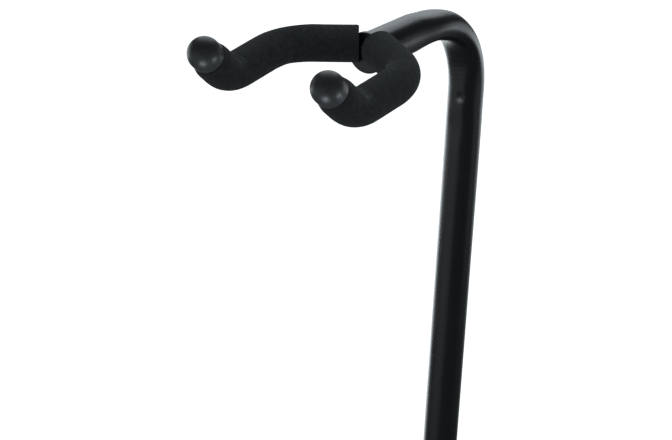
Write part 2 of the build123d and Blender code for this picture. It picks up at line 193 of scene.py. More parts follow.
def turnPiece(name, outline, origin=(0, 0, 0), axis=(0, 0, 1), segments=64, bored=False, rimShape=None):
    # a ring is drawn up from point to point of an outline of (radius, height)
    # a bored piece's outline runs back to its start; rimShape scales the ring by its angle
    deselectAll()
    bpy.ops.mesh.primitive_circle_add(vertices=segments, radius=outline[0][0],
                                      location=(0, 0, outline[0][1]))
    piece = bpy.context.object
    bpy.ops.object.transform_apply(location=True)
    if rimShape:
        for vertex in piece.data.vertices:
            share = rimShape(math.atan2(vertex.co.y, vertex.co.x))
            vertex.co = Vector((vertex.co.x * share, vertex.co.y * share, vertex.co.z))
    bpy.ops.object.mode_set(mode="EDIT")
    bpy.ops.mesh.select_mode(type="EDGE")
    bpy.ops.mesh.select_all(action="SELECT")
    path = outline + [outline[0]] if bored else outline
    for (radiusFrom, heightFrom), (radiusTo, heightTo) in zip(path, path[1:]):
        rise = (0, 0, heightTo - heightFrom)
        bpy.ops.mesh.extrude_region_move(TRANSFORM_OT_translate={"value": rise})
        grow = radiusTo / radiusFrom
        bpy.ops.transform.resize(value=(grow, grow, 1), center_override=(0, 0, 0))
    bpy.ops.object.mode_set(mode="OBJECT")
    closeUp(piece)
    piece.rotation_euler = Vector(axis).to_track_quat("Z", "Y").to_euler()
    piece.location = origin
    return settle(piece, name)


def domeOutline(radius, base, steps=10, last=0.06):
    # quarter round from the rim up to a small flat on the crown
    points = []
    for step in range(1, steps + 1):
        lift = (math.pi / 2 - last) * step / steps
        points.append((radius * math.cos(lift), base + radius * math.sin(lift)))
    return points


def routeOf(corners, radii):
    # turns corner points and bend radii into straight runs and round turns
    moves = []
    here = corners[0]
    for before, at, after, radius in zip(corners, corners[1:], corners[2:], radii):
        inward = (at - before).normalized()
        outward = (after - at).normalized()
        angle = inward.angle(outward)
        reach = radius * math.tan(angle / 2)
        moves.append(("run", (at - reach * inward) - here))
        axis = inward.cross(outward).normalized()
        centre = at - reach * inward + radius * axis.cross(inward)
        moves.append(("turn", centre, axis, angle))
        here = at + reach * outward
    moves.append(("run", corners[-1] - here))
    return moves


fineReach = 0.016                # part of a coarsely laid run that is laid finely before a turn
longestStep = 1.4                # last step of a run may be this many times longer than the others


def layTube(corners, radii, radius, segments, spacing, runSpacing=None):
    # lays an open tube along the route: extruded on the runs and spun round the turns.
    # gives the piece, its rings as centre, heading and way along, and its turns
    moves = routeOf(corners, radii)
    heading = moves[0][1].normalized()
    deselectAll()
    bpy.ops.mesh.primitive_circle_add(vertices=segments, radius=radius, location=corners[0],
                                      rotation=heading.to_track_quat("Z", "Y").to_euler())
    tube = bpy.context.object
    bpy.ops.object.mode_set(mode="EDIT")
    bpy.ops.mesh.select_mode(type="EDGE")
    bpy.ops.mesh.select_all(action="SELECT")
    here, way = corners[0].copy(), 0.0
    rings = [(here.copy(), heading.copy(), way)]
    turns = []
    for move in moves:
        if move[0] == "run":
            left = move[1].length
            while left > 0:
                step = runSpacing if runSpacing and left > fineReach + runSpacing else spacing
                if left < longestStep * step:
                    step = left
                left -= step
                bpy.ops.mesh.extrude_region_move(TRANSFORM_OT_translate={"value": heading * step})
                here = here + heading * step
                way += step
                rings.append((here.copy(), heading.copy(), way))
        else:
            centre, axis, angle = move[1:]
            bend = (here - centre).length
            steps = max(2, round(angle * bend / spacing))
            bpy.ops.mesh.spin(steps=steps, angle=-angle, center=centre, axis=axis)
            turns.append({"start": way, "length": angle * bend, "angle": angle, "bend": bend, "axis": axis})
            turn = Matrix.Rotation(angle / steps, 3, axis)
            for step in range(steps):
                here = centre + turn @ (here - centre)
                heading = turn @ heading
                way += angle * bend / steps
                rings.append((here.copy(), heading.copy(), way))
    bpy.ops.object.mode_set(mode="OBJECT")
    bpy.ops.object.transform_apply(location=True, rotation=True, scale=True)
    return tube, rings, turns


def softCopy(node, name, voxel, passes, smoothAngle=60):
    # a moulded or cast piece: the plain part's merged copy, remeshed and eased at its edges
    plain = cadNodes[node]
    copy = bpy.data.objects.new(name, plain.data.copy())
    bpy.context.collection.objects.link(copy)
    activate(copy)
    bpy.ops.object.mode_set(mode="EDIT")
    bpy.ops.mesh.select_all(action="SELECT")
    bpy.ops.mesh.remove_doubles(threshold=1e-5)
    bpy.ops.object.mode_set(mode="OBJECT")
    applyModifier(copy, "REMESH", mode="VOXEL", voxel_size=voxel)
    applyModifier(copy, "SMOOTH", factor=0.5, iterations=passes)
    return settle(copy, name, smoothAngle)


def give(piece, nodes, body, finish):
    # the piece stands for these nodes, takes their slot and rides on their body
    piece.data.materials.clear()
    piece.data.materials.append(finish)
    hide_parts(*nodes)
    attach(piece, body)


# ---- shader groups ----

def addNode(tree, kind, **values):
    node = tree.nodes.new(kind)
    for key, value in values.items():
        setattr(node, key, value)
    return node


def newGroup(name, takes, gives):
    group = bpy.data.node_groups.new(name, "ShaderNodeTree")
    group.interface.new_socket(name="Place", in_out="INPUT", socket_type="NodeSocketVector")
    for label, value in takes.items():
        socket = group.interface.new_socket(name=label, in_out="INPUT", socket_type="NodeSocketFloat")
        socket.default_value = value
    for label in gives:
        group.interface.new_socket(name=label, in_out="OUTPUT", socket_type="NodeSocketFloat")
    return group, addNode(group, "NodeGroupInput"), addNode(group, "NodeGroupOutput")


def maths(tree, operation, first, second):
    node = addNode(tree, "ShaderNodeMath", operation=operation)
    for socket, value in zip(node.inputs, (first, second)):
        if isinstance(value, (int, float)):
            socket.default_value = value
        else:
            tree.links.new(value, socket)
    return node.outputs[0]


def spread(tree, value, low, high, toLow=0.0, toHigh=1.0):
    node = addNode(tree, "ShaderNodeMapRange", interpolation_type="SMOOTHSTEP")
    tree.links.new(value, node.inputs["Value"])
    for label, number in (("From Min", low), ("From Max", high), ("To Min", toLow), ("To Max", toHigh)):
        node.inputs[label].default_value = number
    return node.outputs["Result"]


def speckle(tree, place, scale, detail=3.0):
    node = addNode(tree, "ShaderNodeTexNoise")
    node.inputs["Detail"].default_value = detail
    tree.links.new(place, node.inputs["Vector"])
    if isinstance(scale, (int, float)):
        node.inputs["Scale"].default_value = scale
    else:
        tree.links.new(scale, node.inputs["Scale"])
    return node.outputs["Fac"]


def makePaintGrain():
    # orange peel of a baked powder coat: broad soft waves with fine specks on them
    group, takes, gives = newGroup("paintGrain", {"Scale": 900.0, "Specks": 0.4}, ("Mask", "Height"))
    place, scale = takes.outputs["Place"], takes.outputs["Scale"]
    waves = spread(group, speckle(group, place, scale, 1.0), 0.3, 0.7)
    specks = spread(group, speckle(group, place, maths(group, "MULTIPLY", scale, 4.0), 2.0), 0.35, 0.65)
    both = maths(group, "ADD", waves, maths(group, "MULTIPLY", specks, takes.outputs["Specks"]))
    group.links.new(specks, gives.inputs["Mask"])
    group.links.new(both, gives.inputs["Height"])
    return group


def makeFoamCells():
    # closed cells cut open at the skin, in clusters
    group, takes, gives = newGroup("foamCells", {"Scale": 1500.0, "Clusters": 0.5}, ("Mask", "Height"))
    place, scale = takes.outputs["Place"], takes.outputs["Scale"]
    cells = addNode(group, "ShaderNodeTexVoronoi", feature="F1")
    group.links.new(place, cells.inputs["Vector"])
    group.links.new(scale, cells.inputs["Scale"])
    rims = spread(group, cells.outputs["Distance"], 0.1, 0.75)
    clusters = spread(group, speckle(group, place, maths(group, "MULTIPLY", scale, 0.3), 3.0), 0.3, 0.7)
    mixed = maths(group, "ADD", maths(group, "MULTIPLY", rims, 0.6),
                  maths(group, "MULTIPLY", clusters, takes.outputs["Clusters"]))
    group.links.new(mixed, gives.inputs["Mask"])
    group.links.new(mixed, gives.inputs["Height"])
    return group


def makeMouldTexture():
    # spark-eroded texture of a plastic mould
    group, takes, gives = newGroup("mouldTexture", {"Scale": 1300.0, "Depth": 1.0}, ("Mask", "Height"))
    place, scale = takes.outputs["Place"], takes.outputs["Scale"]
    pits = addNode(group, "ShaderNodeTexVoronoi", feature="SMOOTH_F1")
    group.links.new(place, pits.inputs["Vector"])
    group.links.new(scale, pits.inputs["Scale"])
    grit = speckle(group, place, maths(group, "MULTIPLY", scale, 0.5), 4.0)
    mask = spread(group, maths(group, "MULTIPLY", pits.outputs["Distance"], grit), 0.1, 0.45)
    group.links.new(mask, gives.inputs["Mask"])
    group.links.new(maths(group, "MULTIPLY", mask, takes.outputs["Depth"]), gives.inputs["Height"])
    return group


def makeMetalGrain():
    # plating over machined steel, drawn out along the piece's X
    group, takes, gives = newGroup("metalGrain", {"Scale": 700.0, "Stretch": 0.15}, ("Mask", "Height"))
    squeeze = addNode(group, "ShaderNodeCombineXYZ")
    squeeze.inputs["Y"].default_value = 1.0
    squeeze.inputs["Z"].default_value = 1.0
    group.links.new(takes.outputs["Stretch"], squeeze.inputs["X"])
    drawn = addNode(group, "ShaderNodeVectorMath", operation="MULTIPLY")
    group.links.new(takes.outputs["Place"], drawn.inputs[0])
    group.links.new(squeeze.outputs[0], drawn.inputs[1])
    lines = spread(group, speckle(group, drawn.outputs[0], takes.outputs["Scale"], 4.0), 0.3, 0.7)
    group.links.new(lines, gives.inputs["Mask"])
    group.links.new(lines, gives.inputs["Height"])
    return group


def makeDustFilm():
    # dust lies on what faces up, in patches
    group, takes, gives = newGroup("dustFilm", {"Scale": 60.0, "Amount": 0.3}, ("Mask",))
    facing = addNode(group, "ShaderNodeSeparateXYZ")
    group.links.new(addNode(group, "ShaderNodeTexCoord").outputs["Normal"], facing.inputs[0])
    upward = spread(group, facing.outputs["Z"], 0.35, 1.0)
    patches = spread(group, speckle(group, takes.outputs["Place"], takes.outputs["Scale"], 6.0), 0.35, 0.75)
    film = maths(group, "MULTIPLY", upward, patches)
    group.links.new(maths(group, "MULTIPLY", film, takes.outputs["Amount"]), gives.inputs["Mask"])
    return group


def makeEdgeWear():
    # paint and plastic rubbed on the outer edges, broken up by a fine noise
    group, takes, gives = newGroup("edgeWear", {"Scale": 350.0, "Amount": 0.5}, ("Mask",))
    bent = spread(group, addNode(group, "ShaderNodeNewGeometry").outputs["Pointiness"], 0.515, 0.57)
    broken = spread(group, speckle(group, takes.outputs["Place"], takes.outputs["Scale"], 5.0), 0.4, 0.62)
    rubbed = maths(group, "MULTIPLY", bent, broken)
    group.links.new(maths(group, "MULTIPLY", rubbed, takes.outputs["Amount"]), gives.inputs["Mask"])
    return group


groups = {"paint": makePaintGrain(), "foam": makeFoamCells(), "mould": makeMouldTexture(),
          "metal": makeMetalGrain(), "dust": makeDustFilm(), "wear": makeEdgeWear()}


def placeGroup(tree, key, place, **values):
    node = addNode(tree, "ShaderNodeGroup", node_tree=groups[key])
    tree.links.new(place, node.inputs["Place"])
    for label, value in values.items():
        node.inputs[label].default_value = value
    return node.outputs


def mixColour(tree, mask, first, second):
    node = addNode(tree, "ShaderNodeMix", data_type="RGBA")
    tree.links.new(mask, node.inputs["Factor"])
    for label, value in (("A", first), ("B", second)):
        socket = [one for one in node.inputs if one.name == label and one.type == "RGBA"][0]
        if isinstance(value, tuple):
            socket.default_value = (*value, 1.0)
        else:
            tree.links.new(value, socket)
    return [one for one in node.outputs if one.type == "RGBA"][0]


dustGrey = (0.10, 0.10, 0.095)
dustRough = 0.4


def makeFinish(name, s):
    # grain over dark and light, then clouds, rubbed edges, a painted highlight along creases, and dust
    material = bpy.data.materials.new(name)
    material.use_nodes = True
    tree = material.node_tree
    shader = tree.nodes["Principled BSDF"]
    for label, value in s.get("fixed", {}).items():
        shader.inputs[label].default_value = value
    place = addNode(tree, "ShaderNodeTexCoord").outputs["Object"]
    grain = placeGroup(tree, s["grain"], place, Scale=s["grainScale"])
    colour = mixColour(tree, grain["Mask"], s["dark"], s["light"])
    cloud = spread(tree, speckle(tree, place, s["cloudScale"], 3.0), 0.35, 0.65)
    colour = mixColour(tree, maths(tree, "MULTIPLY", cloud, s["cloud"]), colour, s["cloudColour"])
    rough = maths(tree, "ADD", maths(tree, "MULTIPLY", grain["Mask"], s["roughSpread"]), s["rough"])
    rough = maths(tree, "ADD", rough, maths(tree, "MULTIPLY", cloud, s["roughCloud"]))
    if "wear" in s:
        worn = placeGroup(tree, "wear", place, Scale=s["wearScale"], Amount=s["wear"])["Mask"]
        colour = mixColour(tree, worn, colour, s["wearColour"])
        rough = maths(tree, "SUBTRACT", rough, maths(tree, "MULTIPLY", worn, s["wearGloss"]))
    # painted highlight along the foam's creases, read from the per-point layer that the sleeves store
    if "creaseHighlight" in s:
        creaseHighlight = addNode(tree, "ShaderNodeAttribute", attribute_name="creaseHighlight").outputs["Fac"]
        colour = mixColour(tree, maths(tree, "MULTIPLY", creaseHighlight, s["creaseHighlight"]), colour, s["creaseHighlightColour"])
    dust = placeGroup(tree, "dust", place, Scale=s["dustScale"], Amount=s["dust"])["Mask"]
    colour = mixColour(tree, dust, colour, dustGrey)
    rough = maths(tree, "ADD", rough, maths(tree, "MULTIPLY", dust, dustRough))
    bump = addNode(tree, "ShaderNodeBump")
    bump.inputs["Strength"].default_value = s["bump"]
    bump.inputs["Distance"].default_value = s["bumpDepth"]
    tree.links.new(grain["Height"], bump.inputs["Height"])
    tree.links.new(colour, shader.inputs["Base Color"])
    tree.links.new(rough, shader.inputs["Roughness"])
    tree.links.new(bump.outputs["Normal"], shader.inputs["Normal"])
    return material


finishes = {
    "tube_paint": makeFinish("satinBlackPowderCoat", {
        "grain": "paint", "grainScale": 700.0,
        "dark": (0.0042, 0.0045, 0.0047), "light": (0.0062, 0.0066, 0.0068),
        "cloudScale": 18.0, "cloud": 0.25, "cloudColour": (0.0075, 0.0078, 0.0080),
        "rough": 0.27, "roughSpread": 0.05, "roughCloud": 0.05, "bump": 0.10, "bumpDepth": 0.0001,
        "wear": 0.25, "wearScale": 500.0, "wearColour": (0.03, 0.03, 0.03), "wearGloss": 0.05,
        "dust": 0.03, "dustScale": 70.0,
        "fixed": {"Specular IOR Level": 0.42}}),
    "rod_paint": makeFinish("blackRodPaint", {
        "grain": "paint", "grainScale": 1100.0,
        "dark": (0.004, 0.0042, 0.0044), "light": (0.006, 0.0063, 0.0065),
        "cloudScale": 40.0, "cloud": 0.2, "cloudColour": (0.008, 0.008, 0.008),
        "rough": 0.32, "roughSpread": 0.06, "roughCloud": 0.05, "bump": 0.12, "bumpDepth": 0.0001,
        "wear": 0.2, "wearScale": 600.0, "wearColour": (0.03, 0.03, 0.03), "wearGloss": 0.05,
        "dust": 0.05, "dustScale": 90.0}),
    "foam": makeFinish("blackSleeveFoam", {
        "grain": "foam", "grainScale": 1000.0,
        "dark": (0.0070, 0.0080, 0.0088), "light": (0.0215, 0.0240, 0.0258),
        "cloudScale": 55.0, "cloud": 0.3, "cloudColour": (0.0165, 0.0180, 0.0190),
        "rough": 0.88, "roughSpread": 0.08, "roughCloud": 0.04, "bump": 0.5, "bumpDepth": 0.0003,
        # painted highlight: a light grey laid along the creases where the folds catch light
        "creaseHighlight": 0.9, "creaseHighlightColour": (0.13, 0.138, 0.14),
        "dust": 0.05, "dustScale": 120.0,
        "fixed": {"Specular IOR Level": 0.2, "Sheen Weight": 0.06, "Sheen Roughness": 0.5}}),
    "cap_rubber": makeFinish("mouldedCapRubber", {
        "grain": "mould", "grainScale": 2200.0,
        "dark": (0.014, 0.0148, 0.0153), "light": (0.0185, 0.0195, 0.0200),
        "cloudScale": 90.0, "cloud": 0.2, "cloudColour": (0.021, 0.022, 0.0225),
        "rough": 0.36, "roughSpread": 0.06, "roughCloud": 0.05, "bump": 0.10, "bumpDepth": 0.0001,
        "wear": 0.2, "wearScale": 700.0, "wearColour": (0.03, 0.03, 0.03), "wearGloss": 0.0,
        "dust": 0.05, "dustScale": 150.0,
        "fixed": {"Specular IOR Level": 0.25}}),
    "foot_rubber": makeFinish("footRubber", {
        "grain": "mould", "grainScale": 1500.0,
        "dark": (0.010, 0.010, 0.010), "light": (0.017, 0.017, 0.017),
        "cloudScale": 60.0, "cloud": 0.3, "cloudColour": (0.025, 0.024, 0.023),
        "rough": 0.6, "roughSpread": 0.12, "roughCloud": 0.08, "bump": 0.25, "bumpDepth": 0.0002,
        "wear": 0.5, "wearScale": 400.0, "wearColour": (0.05, 0.048, 0.045), "wearGloss": -0.1,
        "dust": 0.16, "dustScale": 90.0,
        "fixed": {"Specular IOR Level": 0.4}}),
    "plug_plastic": makeFinish("plugPlastic", {
        "grain": "mould", "grainScale": 1800.0,
        "dark": (0.008, 0.008, 0.0085), "light": (0.013, 0.013, 0.0135),
        "cloudScale": 90.0, "cloud": 0.2, "cloudColour": (0.016, 0.016, 0.016),
        "rough": 0.27, "roughSpread": 0.06, "roughCloud": 0.05, "bump": 0.12, "bumpDepth": 0.0001,
        "dust": 0.05, "dustScale": 120.0}),
    "bush_plastic": makeFinish("slidingPlastic", {
        "grain": "mould", "grainScale": 1400.0,
        "dark": (0.045, 0.045, 0.047), "light": (0.06, 0.06, 0.06),
        "cloudScale": 80.0, "cloud": 0.3, "cloudColour": (0.08, 0.08, 0.08),
        "rough": 0.4, "roughSpread": 0.1, "roughCloud": 0.1, "bump": 0.1, "bumpDepth": 0.0001,
        "dust": 0.05, "dustScale": 120.0}),
    "clamp_plastic": makeFinish("texturedNylon", {
        "grain": "mould", "grainScale": 1100.0,
        "dark": (0.0095, 0.0095, 0.0100), "light": (0.0175, 0.0175, 0.0180),
        "cloudScale": 45.0, "cloud": 0.25, "cloudColour": (0.022, 0.022, 0.022),
        "rough": 0.46, "roughSpread": 0.16, "roughCloud": 0.06, "bump": 0.35, "bumpDepth": 0.0002,
        "wear": 0.45, "wearScale": 420.0, "wearColour": (0.045, 0.045, 0.045), "wearGloss": 0.1,
        "dust": 0.10, "dustScale": 70.0,
        "fixed": {"Specular IOR Level": 0.45}}),
    "knob_plastic": makeFinish("knobNylon", {
        "grain": "mould", "grainScale": 1400.0,
        "dark": (0.0085, 0.0085, 0.0090), "light": (0.0150, 0.0150, 0.0155),
        "cloudScale": 60.0, "cloud": 0.25, "cloudColour": (0.020, 0.020, 0.020),
        "rough": 0.40, "roughSpread": 0.14, "roughCloud": 0.06, "bump": 0.28, "bumpDepth": 0.0002,
        "wear": 0.5, "wearScale": 500.0, "wearColour": (0.05, 0.05, 0.05), "wearGloss": 0.12,
        "dust": 0.07, "dustScale": 90.0,
        "fixed": {"Specular IOR Level": 0.45}}),
    "screw_steel": makeFinish("blackZincSteel", {
        "grain": "metal", "grainScale": 900.0,
        "dark": (0.045, 0.046, 0.050), "light": (0.09, 0.09, 0.095),
        "cloudScale": 120.0, "cloud": 0.3, "cloudColour": (0.12, 0.11, 0.10),
        "rough": 0.28, "roughSpread": 0.12, "roughCloud": 0.08, "bump": 0.1, "bumpDepth": 0.0001,
        "wear": 0.8, "wearScale": 600.0, "wearColour": (0.42, 0.41, 0.40), "wearGloss": 0.05,
        "dust": 0.06, "dustScale": 150.0,
        "fixed": {"Metallic": 0.9}}),
    "pad_brass": makeFinish("turnedBrass", {
        "grain": "metal", "grainScale": 900.0,
        "dark": (0.50, 0.36, 0.15), "light": (0.68, 0.50, 0.22),
        "cloudScale": 150.0, "cloud": 0.4, "cloudColour": (0.42, 0.30, 0.14),
        "rough": 0.28, "roughSpread": 0.1, "roughCloud": 0.1, "bump": 0.1, "bumpDepth": 0.0001,
        "dust": 0.03, "dustScale": 150.0,
        "fixed": {"Metallic": 1.0}}),
}
print("finishes made:", len(finishes))


# ---- neck tube: bent cold, so the bend is flattened and its inner side crushed ----

neckTube = {
    "bendRadius": 0.054, "wall": 0.0015, "segments": 128, "spacing": 0.0012, "runSpacing": 0.006,
    # depth pressed in, then where it rises and falls in millimetres from the arm's end of the bend
    "outer": ((0.0012, -14, 0, 12, 30), (0.00085, -8, 8, 55, 72)),
    "inner": ((0.0017, -20, -4, 60, 75), (0.0029, 14, 42, 44, 68), (-0.0009, 70, 84, 92, 108)),
    "bulge": 0.25, "knee": 0.003, "flatten": 0.15,
    "ripple": 0.00010, "ripplePitch": 0.0034, "rippleSpan": (30, 45, 66, 78), "rippleSlant": 0.35,
    "dimpleDrop": 0.0003, "dimpleTurn": 12.0, "dimpleRadius": 0.0026, "dimpleDepth": 0.0010,
    "dimpleAbove": 0.008,
}


def crushDepth(dents, way):
    # how far one side is pressed in, by the way along from the arm's end of the bend
    return sum(deep * hump(way * 1000, *span) for deep, *span in dents)


def dimplePlace(s):
    turn = math.radians(s["dimpleTurn"])
    return Vector((math.sin(turn) * tubeRadius, poleY - math.cos(turn) * tubeRadius,
                   corner.z - s["bendRadius"] - s["dimpleDrop"]))


def makeNeck(s):
    start = Vector((0, poleY, neckLow.z))
    tube, rings, turns = layTube([start, corner, armEnd], [s["bendRadius"]], tubeRadius, s["segments"],
                                 s["spacing"], s["runSpacing"])
    bend = turns[0]
    bendEnd = bend["start"] + bend["length"]
    side = Vector((1, 0, 0))
    dimple = dimplePlace(s)
    dimpleTop = corner.z - s["bendRadius"] + s["dimpleAbove"]
    for vertex in tube.data.vertices:
        centre, heading, way = rings[vertex.index // s["segments"]]
        fromArm = bendEnd - way
        outer, inner = crushDepth(s["outer"], fromArm), crushDepth(s["inner"], fromArm)
        inward = side.cross(heading)
        across = (vertex.co - centre).dot(side)
        depth = (vertex.co - centre).dot(inward)
        if outer or inner:
            across *= 1 + s["bulge"] * (outer + inner) / tubeRadius
            depth *= 1 - (inner if depth > 0 else outer) / tubeRadius
            flat = s["flatten"] * max(0.0, inner)
            depth = limited(depth, tubeRadius - inner - flat + s["knee"] / 4, s["knee"])
            wrinkled = hump(fromArm * 1000, *s["rippleSpan"]) * smooth(0.2, 0.9, depth / tubeRadius)
            slanted = fromArm + s["rippleSlant"] * across
            depth -= s["ripple"] * wrinkled * (1 + math.sin(2 * math.pi * slanted / s["ripplePitch"]))
        vertex.co = centre + across * side + depth * inward
        # the former's stop has left one small dent in the pole
        away = (vertex.co - dimple).length / s["dimpleRadius"]
        if away < 3 and vertex.co.z < dimpleTop:
            vertex.co += (centre - vertex.co).normalized() * s["dimpleDepth"] * math.exp(-away * away)
    activate(tube)
    bpy.ops.object.mode_set(mode="EDIT")
    bpy.ops.mesh.select_all(action="SELECT")
    bpy.ops.mesh.normals_make_consistent(inside=False)
    bpy.ops.object.mode_set(mode="OBJECT")
    applyModifier(tube, "SOLIDIFY", thickness=s["wall"], offset=-1)
    return settle(tube, "neck_tube_painted", 60)


neck = makeNeck(neckTube)
give(neck, ["neck_tube"], "neck", finishes["tube_paint"])
print("neck tube bent")


# ---- yoke foam ----

yokeShape = {
    "crossing": 0.003,                      # yoke's crossing behind the arm's end
    "middle": (0.0, -0.00125, 0.0038),      # out, forward, up from the crossing
    "shoulder": (0.0421, 0.0262, 0.0017),
    "dip": (0.0413, 0.0783, -0.0036),
    "tip": (0.0401, 0.0970, 0.0120),
    "shoulderRadius": 0.033, "dipRadius": 0.028, "foamStart": 0.0079,
}
foamSleeve = {
    "radius": 0.0106, "bore": 0.0041, "segments": 96, "spacing": 0.0009,
    "kink": 0.9, "kinkSharp": 1.6, "creaseWidth": 0.0012, "creaseDepth": 0.0006,
    "creaseSides": ((-0.0038, 0.5), (0, 1.0), (0.0034, 0.7)),      # offset along, strength
    "wander": 0.0015, "wanderScale": 120.0, "breakScale": 500.0, "fill": 0.9,
    "waver": 0.00018, "waverScale": 60.0, "pits": 0.00006, "pitScale": 900.0,
    "taper": 0.0008, "taperLength": 0.006, "endRound": 0.0003, "cutReach": 0.022,
}


def yokePoint(key, side):
    out, forward, up = yokeShape[key]
    return armEnd + Vector((side * out, yokeShape["crossing"] - forward, up))


def makeSleeve(s, name, corners, radii, seed, foldAndHighlight, slant=0.0):
    # the per-turn strengths set how deeply the skin folds at each turn and how bright a painted highlight is laid
    # along the creases
    # slant is how far the far side of the cut end leans back, per metre across
    tube, rings, turns = layTube(corners, radii, s["radius"], s["segments"], s["spacing"])
    paintedHighlightLayer = tube.data.attributes.new("creaseHighlight", "FLOAT", "POINT")
    shift = Vector((seed, 2 * seed, 3 * seed))
    for vertex in tube.data.vertices:
        centre, heading, way = rings[vertex.index // s["segments"]]
        out = (vertex.co - centre).normalized()
        pressed, paintedHighlight = 0.0, 0.0
        for turn, worn in zip(turns, foldAndHighlight):
            # foam folds on the inside of a turn: straight flanks that meet in a crease
            inward = turn["axis"].cross(heading)
            facing = max(0.0, out.dot(inward)) ** s["kinkSharp"]
            half = turn["angle"] / 2
            middle = turn["start"] + turn["length"] / 2
            angle = abs(way - middle) / turn["bend"]
            if angle < half:
                inner = turn["bend"] - s["radius"]
                pressed += facing * s["kink"] * inner * (1 / math.cos(half - angle) - 1)
            wander = s["wander"] * noise.noise(vertex.co * s["wanderScale"] + shift)
            for aside, share in s["creaseSides"]:
                fold = share * math.exp(-((way - middle + wander - aside) / s["creaseWidth"]) ** 2)
                pressed += facing * fold * s["creaseDepth"] * worn
                broken = 0.6 + 1.1 * noise.noise(vertex.co * s["breakScale"] + shift * (1 + aside * 100))
                # painted highlight: the fold lines get a lighter colour where they catch light, stored per point
                # for the foam finish
                paintedHighlight += worn * smooth(0.15, 0.75, facing) * fold * max(0.0, min(1.0, broken))
        waver = s["waver"] * noise.noise(vertex.co * s["waverScale"] + shift)
        pits = s["pits"] * noise.noise(vertex.co * s["pitScale"] + shift)
        toEnd = rings[-1][2] - way
        pressed += s["taper"] * smooth(s["taperLength"], 0.0, toEnd)
        if toEnd < s["endRound"]:
            pressed += s["endRound"] - math.sqrt(s["endRound"] ** 2 - (s["endRound"] - toEnd) ** 2)
        vertex.co -= out * (pressed + abs(waver) + abs(pits))
        paintedHighlightLayer.data[vertex.index].value = min(1.0, paintedHighlight)
    bore = layTube(corners, radii, s["bore"], s["segments"], s["spacing"])[0]
    for shell in (tube, bore):
        for vertex in shell.data.vertices:
            centre, heading, way = rings[vertex.index // s["segments"]]
            lean = slant * max(0.0, vertex.co.y - centre.y)
            vertex.co += heading * lean * smooth(s["cutReach"], 0.0, way)
    activate(bore)
    bpy.ops.object.mode_set(mode="EDIT")
    bpy.ops.mesh.select_all(action="SELECT")
    bpy.ops.mesh.flip_normals()
    bpy.ops.object.mode_set(mode="OBJECT")
    sleeve = joinAll([tube, bore])
    for end in (corners[0], corners[-1]):
        # bridges the cut end from the skin to the rod's hole
        bpy.ops.object.mode_set(mode="EDIT")
        bpy.ops.mesh.select_mode(type="EDGE")
        bpy.ops.mesh.select_all(action="DESELECT")
        bpy.ops.object.mode_set(mode="OBJECT")
        rim = {v.index for v in sleeve.data.vertices if (v.co - end).length < s["radius"] * 1.5}
        faces = {}
        for polygon in sleeve.data.polygons:
            for key in polygon.edge_keys:
                faces[key] = faces.get(key, 0) + 1
        for edge in sleeve.data.edges:
            if faces[edge.key] == 1 and edge.vertices[0] in rim and edge.vertices[1] in rim:
                edge.select = True
        bpy.ops.object.mode_set(mode="EDIT")
        bpy.ops.mesh.bridge_edge_loops(number_cuts=3, interpolation="LINEAR")
        bpy.ops.object.mode_set(mode="OBJECT")
    closeUp(sleeve)
    return settle(sleeve, name, 50)


# per turn: how deeply the yoke sleeves fold, and how bright their painted crease highlight is
yokeFoldsAndHighlights = {"left": (0.1, 0.4), "right": (1.5, 0.5)}          # at the shoulder, at the dip
cutSlants = {"left": 0.66, "right": 0.0}

for word, side in sideWord.items():
    middle, shoulder = yokePoint("middle", side), yokePoint("shoulder", side)
    start = middle + yokeShape["foamStart"] * (shoulder - middle).normalized()
    route = [start, shoulder, yokePoint("dip", side), yokePoint("tip", side)]
    sleeve = makeSleeve(foamSleeve, "foam_" + word, route,
                        [yokeShape["shoulderRadius"], yokeShape["dipRadius"]], 3.0 + side,
                        yokeFoldsAndHighlights[word], cutSlants[word])
    give(sleeve, ["foam_sleeve_" + word], "neck", finishes["foam"])
print("yoke foam laid")


# ---- domed end caps ----

endCap = {"radius": 0.0094, "skirt": 0.005, "grip": 0.009, "bore": 0.0041, "lip": 0.0005,
          "boreEdge": 0.0004, "domeSteps": 18, "domeLast": 0.04, "segments": 96}


def makeCap(s, name, end, direction):
    outline = soften([(s["bore"], s["grip"], 0), (s["bore"], 0, s["boreEdge"]),
                      (s["radius"], 0, s["lip"]), (s["radius"], s["skirt"], 0)])
    outline += domeOutline(s["radius"], s["skirt"], s["domeSteps"], s["domeLast"])
    return turnPiece(name, outline, end, direction, s["segments"])


caps = []
for word, side in sideWord.items():
    tip, dip = yokePoint("tip", side), yokePoint("dip", side)
    cap = makeCap(endCap, "cap_" + word, tip, tip - dip)
    give(cap, ["end_cap_" + word], "neck", finishes["cap_rubber"])
    caps.append(cap)
print("end caps made")


# ---- cutting and fastening helpers ----

def combine(piece, tool, operation):
    applyModifier(piece, "BOOLEAN", operation=operation, object=tool, solver="EXACT")
    bpy.data.objects.remove(tool)


def addPrism(sides, radius, depth, origin, axis):
    deselectAll()
    bpy.ops.mesh.primitive_cylinder_add(vertices=sides, radius=radius, depth=depth)
    prism = bpy.context.object
    prism.rotation_euler = Vector(axis).to_track_quat("Z", "Y").to_euler()
    prism.location = origin
    bpy.ops.object.transform_apply(location=True, rotation=True, scale=True)
    return prism


capBolt = {"shank": 0.0027, "head": 0.0052, "headHeight": 0.0039, "round": 0.0006, "tipRound": 0.0005,
           "edge": 0.0002, "faceHole": 0.0015, "socket": 0.0029, "socketDepth": 0.0024}


